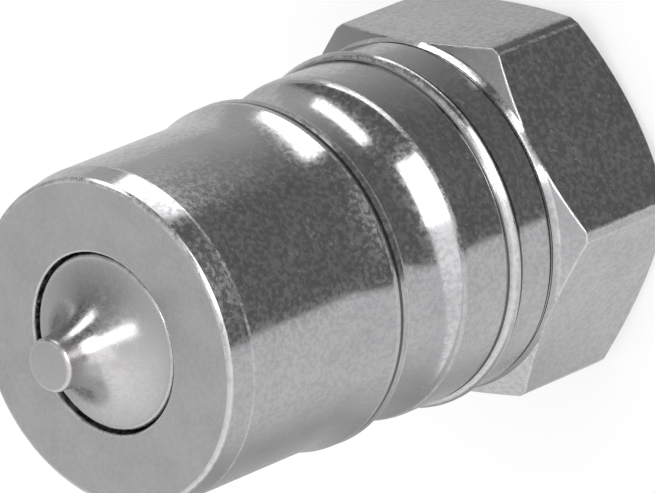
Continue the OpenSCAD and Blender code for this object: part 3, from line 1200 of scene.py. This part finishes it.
@dataclass(frozen=True)
class CarriedNode:
    """A node whose own mesh shows, with a better finish."""

    node: str

    def dress(self, material: Material) -> None:
        """Puts the finish on the node's own object.

        Args:
            material: The finish.
        """
        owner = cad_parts[self.node]
        if not owner.material_slots:
            owner.data.materials.append(material)
        for slot in owner.material_slots:
            slot.material = material
        log.info("%s: dressed", self.node)


# ------------------------ the studio


@dataclass(frozen=True)
class Viewpoint:
    """The camera's place and lens.

    Args:
        azimuth: Angle round the object in degrees; 0 looks along +Y.
        elevation: Angle above the horizon in degrees.
        roll: How far the object appears turned counter-clockwise, in degrees.
        distance: Distance from the target along the view, in millimetres.
        target: The point that the picture's centre looks at, in millimetres.
        lens: Focal length, in millimetres.
        sensor: Width of the sensor, in millimetres.
        reach: Distance up to which the camera sees, in millimetres.
    """

    azimuth: float = -5.7855
    elevation: float = 43.9459
    roll: float = 112.25
    distance: float = 886.06
    target: Triple = (-1.061, -15.017, 41.388)
    lens: float = 549.618
    sensor: float = 36.0
    reach: float = 50000.0

    def build(self) -> None:
        """Makes the camera and gives it to the scene."""
        camera = bpy.data.objects.new("camera", bpy.data.cameras.new("camera"))
        bpy.context.scene.collection.objects.link(camera)
        camera.data.sensor_width = self.sensor
        camera.data.lens = self.lens
        camera.data.clip_end = self.reach * MM
        turn = (Matrix.Rotation(math.radians(self.azimuth), 4, "Z")
                @ Matrix.Rotation(math.radians(90 - self.elevation), 4, "X")
                @ Matrix.Rotation(math.radians(-self.roll), 4, "Z"))
        back = turn @ Vector((0.0, 0.0, self.distance * MM))
        camera.matrix_world = Matrix.Translation(Vector(self.target) * MM + back) @ turn
        bpy.context.scene.camera = camera


def stage_object(name: str, shape: BMesh, surface: Callable[[Wiring], NodeSocket],
                 hidden: bool = True) -> None:
    """Makes an object of the studio, with a material of its own.

    Args:
        name: Name of the object and the material.
        shape: Its mesh, in metres; it is freed.
        surface: Gives the material's surface shader from its wiring.
        hidden: Whether reflections alone see it.
    """
    staged = add_object(name, shape)
    material = bpy.data.materials.new(name)
    material.use_nodes = True
    nodes = material.node_tree.nodes
    nodes.remove(nodes["Principled BSDF"])
    wires = Wiring(material.node_tree)
    wires.feed(nodes["Material Output"].inputs["Surface"], surface(wires))
    staged.data.materials.append(material)
    if hidden:
        staged.visible_camera = staged.visible_diffuse = False
        staged.visible_shadow = staged.visible_transmission = False


@dataclass(frozen=True)
class Card:
    """A softbox or dark flag bent round the axis, which reflections alone see.

    Args:
        name: Name of the card.
        start: Direction of its first edge in degrees, from the camera's side towards +X.
        end: Direction of its second edge.
        outline: Its distances from the axis and heights, in millimetres.
        level: Its brightness, where 1 is white.
        steps: Number of facets in its bend.
    """

    name: str
    start: float
    end: float
    outline: tuple[Pair, ...]
    level: float
    steps: int = 12

    def build(self, camera_side: float) -> None:
        """Spins the outline about the axis into the card.

        Args:
            camera_side: Direction from the axis to the camera, in degrees.
        """
        shape = bmesh.new()
        points = [shape.verts.new((distance * MM, 0, height * MM))
                  for distance, height in self.outline]
        for first, second in zip(points, points[1:]):
            shape.edges.new((first, second))
        bmesh.ops.rotate(shape, verts=points, matrix=Matrix.Rotation(
            math.radians(camera_side + self.start), 3, "Z"))
        spin_about_axis(shape, shape.verts[:] + shape.edges[:], self.steps,
                        math.radians(self.end - self.start))
        stage_object(self.name, shape, lambda wires: wires.glow(self.level))


@dataclass(frozen=True)
class FloorCard:
    """A floor shape that only reflections show, with a brightness that changes round the axis.

    Args:
        name: Name of the card.
        outline: Corners in millimetres, towards the camera and to its right.
        height: Height in millimetres.
        fade: Bearings in degrees between which the brightness changes.
        levels: Brightness at those two bearings.
    """

    name: str
    outline: tuple[Pair, ...]
    height: float
    fade: Pair
    levels: Pair

    def build(self, camera_side: float) -> None:
        """Lays the card on the floor, turned towards the camera.

        Args:
            camera_side: Direction from the axis to the camera, in degrees.
        """
        shape = bmesh.new()
        shape.faces.new([shape.verts.new((x * MM, y * MM, self.height * MM))
                         for x, y in self.outline])
        turn = math.radians(camera_side)
        bmesh.ops.rotate(shape, verts=shape.verts[:], matrix=Matrix.Rotation(turn, 3, "Z"))
        stage_object(self.name, shape, lambda wires: wires.glow(self._shade(wires, turn)))

    def _shade(self, wires: Wiring, turn: float) -> NodeSocket:
        """Brightness by the bearing from the axis.

        Args:
            wires: The card's wiring.
            turn: The camera's side, in radians.

        Returns:
            The brightness.
        """
        turned = wires.add("VectorRotate", {
            "Vector": wires.add("TexCoord").outputs["Object"], "Angle": -turn},
            rotation_type="Z_AXIS").outputs[0]
        parts = wires.add("SeparateXYZ", {0: turned}).outputs
        return wires.ramp(wires.math("ARCTAN2", parts[1], parts[0]),
                          *(math.radians(angle) for angle in self.fade), *self.levels)


@dataclass(frozen=True)
class Studio:
    """Plain pale floor, even light, one soft lamp, and the cards that shape the reflections.

    The camera's side is in degrees. The floor and the sky each have one level for the camera and
    another for the rest, and the sky falls off to one side by its slope's share.
    """

    camera_side: float = -95.79
    floor_size: float = 4000.0
    floor_height: float = -0.2
    floor_colour: Triple = (0.38, 0.38, 0.38)
    floor_glow: float = 0.66
    floor_mirror_glow: float = 0.42
    backdrop: float = 1.0
    sky: float = 0.80
    sky_slope: float = 0.7
    lamp_watts: float = 1.6
    lamp_size: float = 600.0
    lamp_place: Triple = (250.0, -150.0, 700.0)
    floor_cards: tuple[FloorCard, ...] = (
        FloorCard("dark_flag", (
            (0.0, 0.0), (15.3, -4.4), (354.5, -216.4), (428.0, 476.0), (-239.3, 329.5),
            (-3.5, 27.7), (5.6, 22.4), (15.57, 11.23)), -0.1, (40.0, 112.0), (0.17, 0.62)),
        FloorCard("light_sheet", (
            (-600.0, 0.0), (-600.0, -600.0), (600.0, -600.0), (600.0, 0.0)),
            -0.15, (-118.0, -74.0), (0.52, 0.94)),
    )
    cards: tuple[Card, ...] = (
        Card("front_softbox", -8.0, 31.0, ((150.0, 17.0), (150.0, 80.0)), 4.5),
        Card("strip_softbox", -5.0, 18.0, ((150.0, 80.0), (150.0, 420.0)), 4.5),
        Card("low_softbox", 52.0, 94.0, ((80.0, 0.1), (100.0, 0.1), (100.0, 12.0)), 4.5),
        Card("thin_softbox", 64.0, 82.0, ((24.0, 53.0), (24.0, 66.0)), 4.0),
        Card("left_softbox", -46.0, -8.1, ((150.0, 25.0), (150.0, 130.0)), 1.5),
        Card("side_flag", 32.0, 118.0, ((180.0, 0.0), (180.0, 100.0)), 0.17),
    )

    def build(self) -> None:
        """Builds the floor, world, lamp and cards."""
        self._floor()
        self._world()
        self._lamp()
        for card in (*self.floor_cards, *self.cards):
            card.build(self.camera_side)

    def _seen(self, wires: Wiring) -> NodeSocket:
        """The floor's own glow: one level for the camera, a lower one for mirrors and glass.

        Args:
            wires: The floor's wiring.

        Returns:
            The glow's level.
        """
        rays = wires.add("LightPath").outputs
        mirror = wires.math("MAXIMUM", rays["Is Glossy Ray"], rays["Is Transmission Ray"])
        return wires.math("MAXIMUM", wires.math("MULTIPLY", rays["Is Camera Ray"], self.floor_glow),
                          wires.math("MULTIPLY", mirror, self.floor_mirror_glow))

    def _floor(self) -> None:
        """Pale floor that shows near white, keeps the object's shadow and is clear from below."""
        shape = bmesh.new()
        bmesh.ops.create_grid(shape, x_segments=1, y_segments=1, size=self.floor_size / 2 * MM)
        bmesh.ops.translate(shape, vec=(0, 0, self.floor_height * MM), verts=shape.verts[:])
        stage_object("floor", shape, self._floor_surface, hidden=False)

    def _floor_surface(self, wires: Wiring) -> NodeSocket:
        """Matt and glowing from above, and clear from below.

        Args:
            wires: The floor's wiring.

        Returns:
            The surface shader.
        """
        matt = wires.add("BsdfDiffuse", {"Color": (*self.floor_colour, 1)}).outputs[0]
        both = wires.add("AddShader", {0: matt, 1: wires.glow(self._seen(wires))}).outputs[0]
        under = wires.add("NewGeometry").outputs["Backfacing"]
        clear = wires.add("BsdfTransparent").outputs[0]
        return wires.add("MixShader", {0: under, 1: both, 2: clear}).outputs[0]

    def _world(self) -> None:
        """Soft sky: white to the camera, and falling off towards one side for everything else."""
        world = bpy.data.worlds.new("sky")
        bpy.context.scene.world = world
        world.use_nodes = True
        wires = Wiring(world.node_tree)
        angle = math.radians(self.camera_side) + TURN / 4
        side = wires.add("VectorMath", {0: wires.add("TexCoord").outputs["Generated"],
                                        1: (math.cos(angle), math.sin(angle), 0.0)},
                         operation="DOT_PRODUCT").outputs["Value"]
        soft = wires.math("MULTIPLY_ADD", side, -self.sky * self.sky_slope, self.sky)
        seen = wires.add("LightPath").outputs["Is Camera Ray"]
        level = wires.add("Mix", {0: seen, 2: soft, 3: self.backdrop}, data_type="FLOAT").outputs[0]
        wires.feed(world.node_tree.nodes["Background"].inputs["Strength"], level)
        world.node_tree.nodes["Background"].inputs["Color"].default_value = WHITE

    def _lamp(self) -> None:
        """One large soft lamp overhead, for a gentle shadow on the floor."""
        light = bpy.data.lights.new("overhead_softbox", "AREA")
        lamp = bpy.data.objects.new("overhead_softbox", light)
        bpy.context.scene.collection.objects.link(lamp)
        lamp.data.shape = "SQUARE"
        lamp.data.size = self.lamp_size * MM
        lamp.data.energy = self.lamp_watts
        lamp.location = [part * MM for part in self.lamp_place]
        lamp.rotation_euler = (-lamp.location).to_track_quat("-Z", "Y").to_euler()
        lamp.visible_glossy = False


def main() -> None:
    logging.basicConfig(level=logging.INFO, format="%(message)s")
    bpy.context.scene.view_settings.view_transform = "Standard"
    Viewpoint().build()
    Studio().build()
    effects = Effects()
    body, adapter, turned, guide, wire, rubber, backup = (
        finish.build(effects) for finish in vars(Finishes()).values())
    NoseBody().build(body)
    HexAdapter().build(adapter)
    Poppet().build(turned)
    SealRing("poppet_seal_moulded", "poppet_seal", Body.VALVE).build(rubber)
    SealRing("joint_o_ring_moulded", "joint_o_ring", Body.PLUG, centre_radius=13.7,
             height=16.7).build(rubber)
    BackupRing().build(backup)
    ValveSpring().build(wire)
    CarriedNode("valve_guide").dress(guide)
    CarriedNode("guide_circlip").dress(wire)


if __name__ == "__main__":
    main()
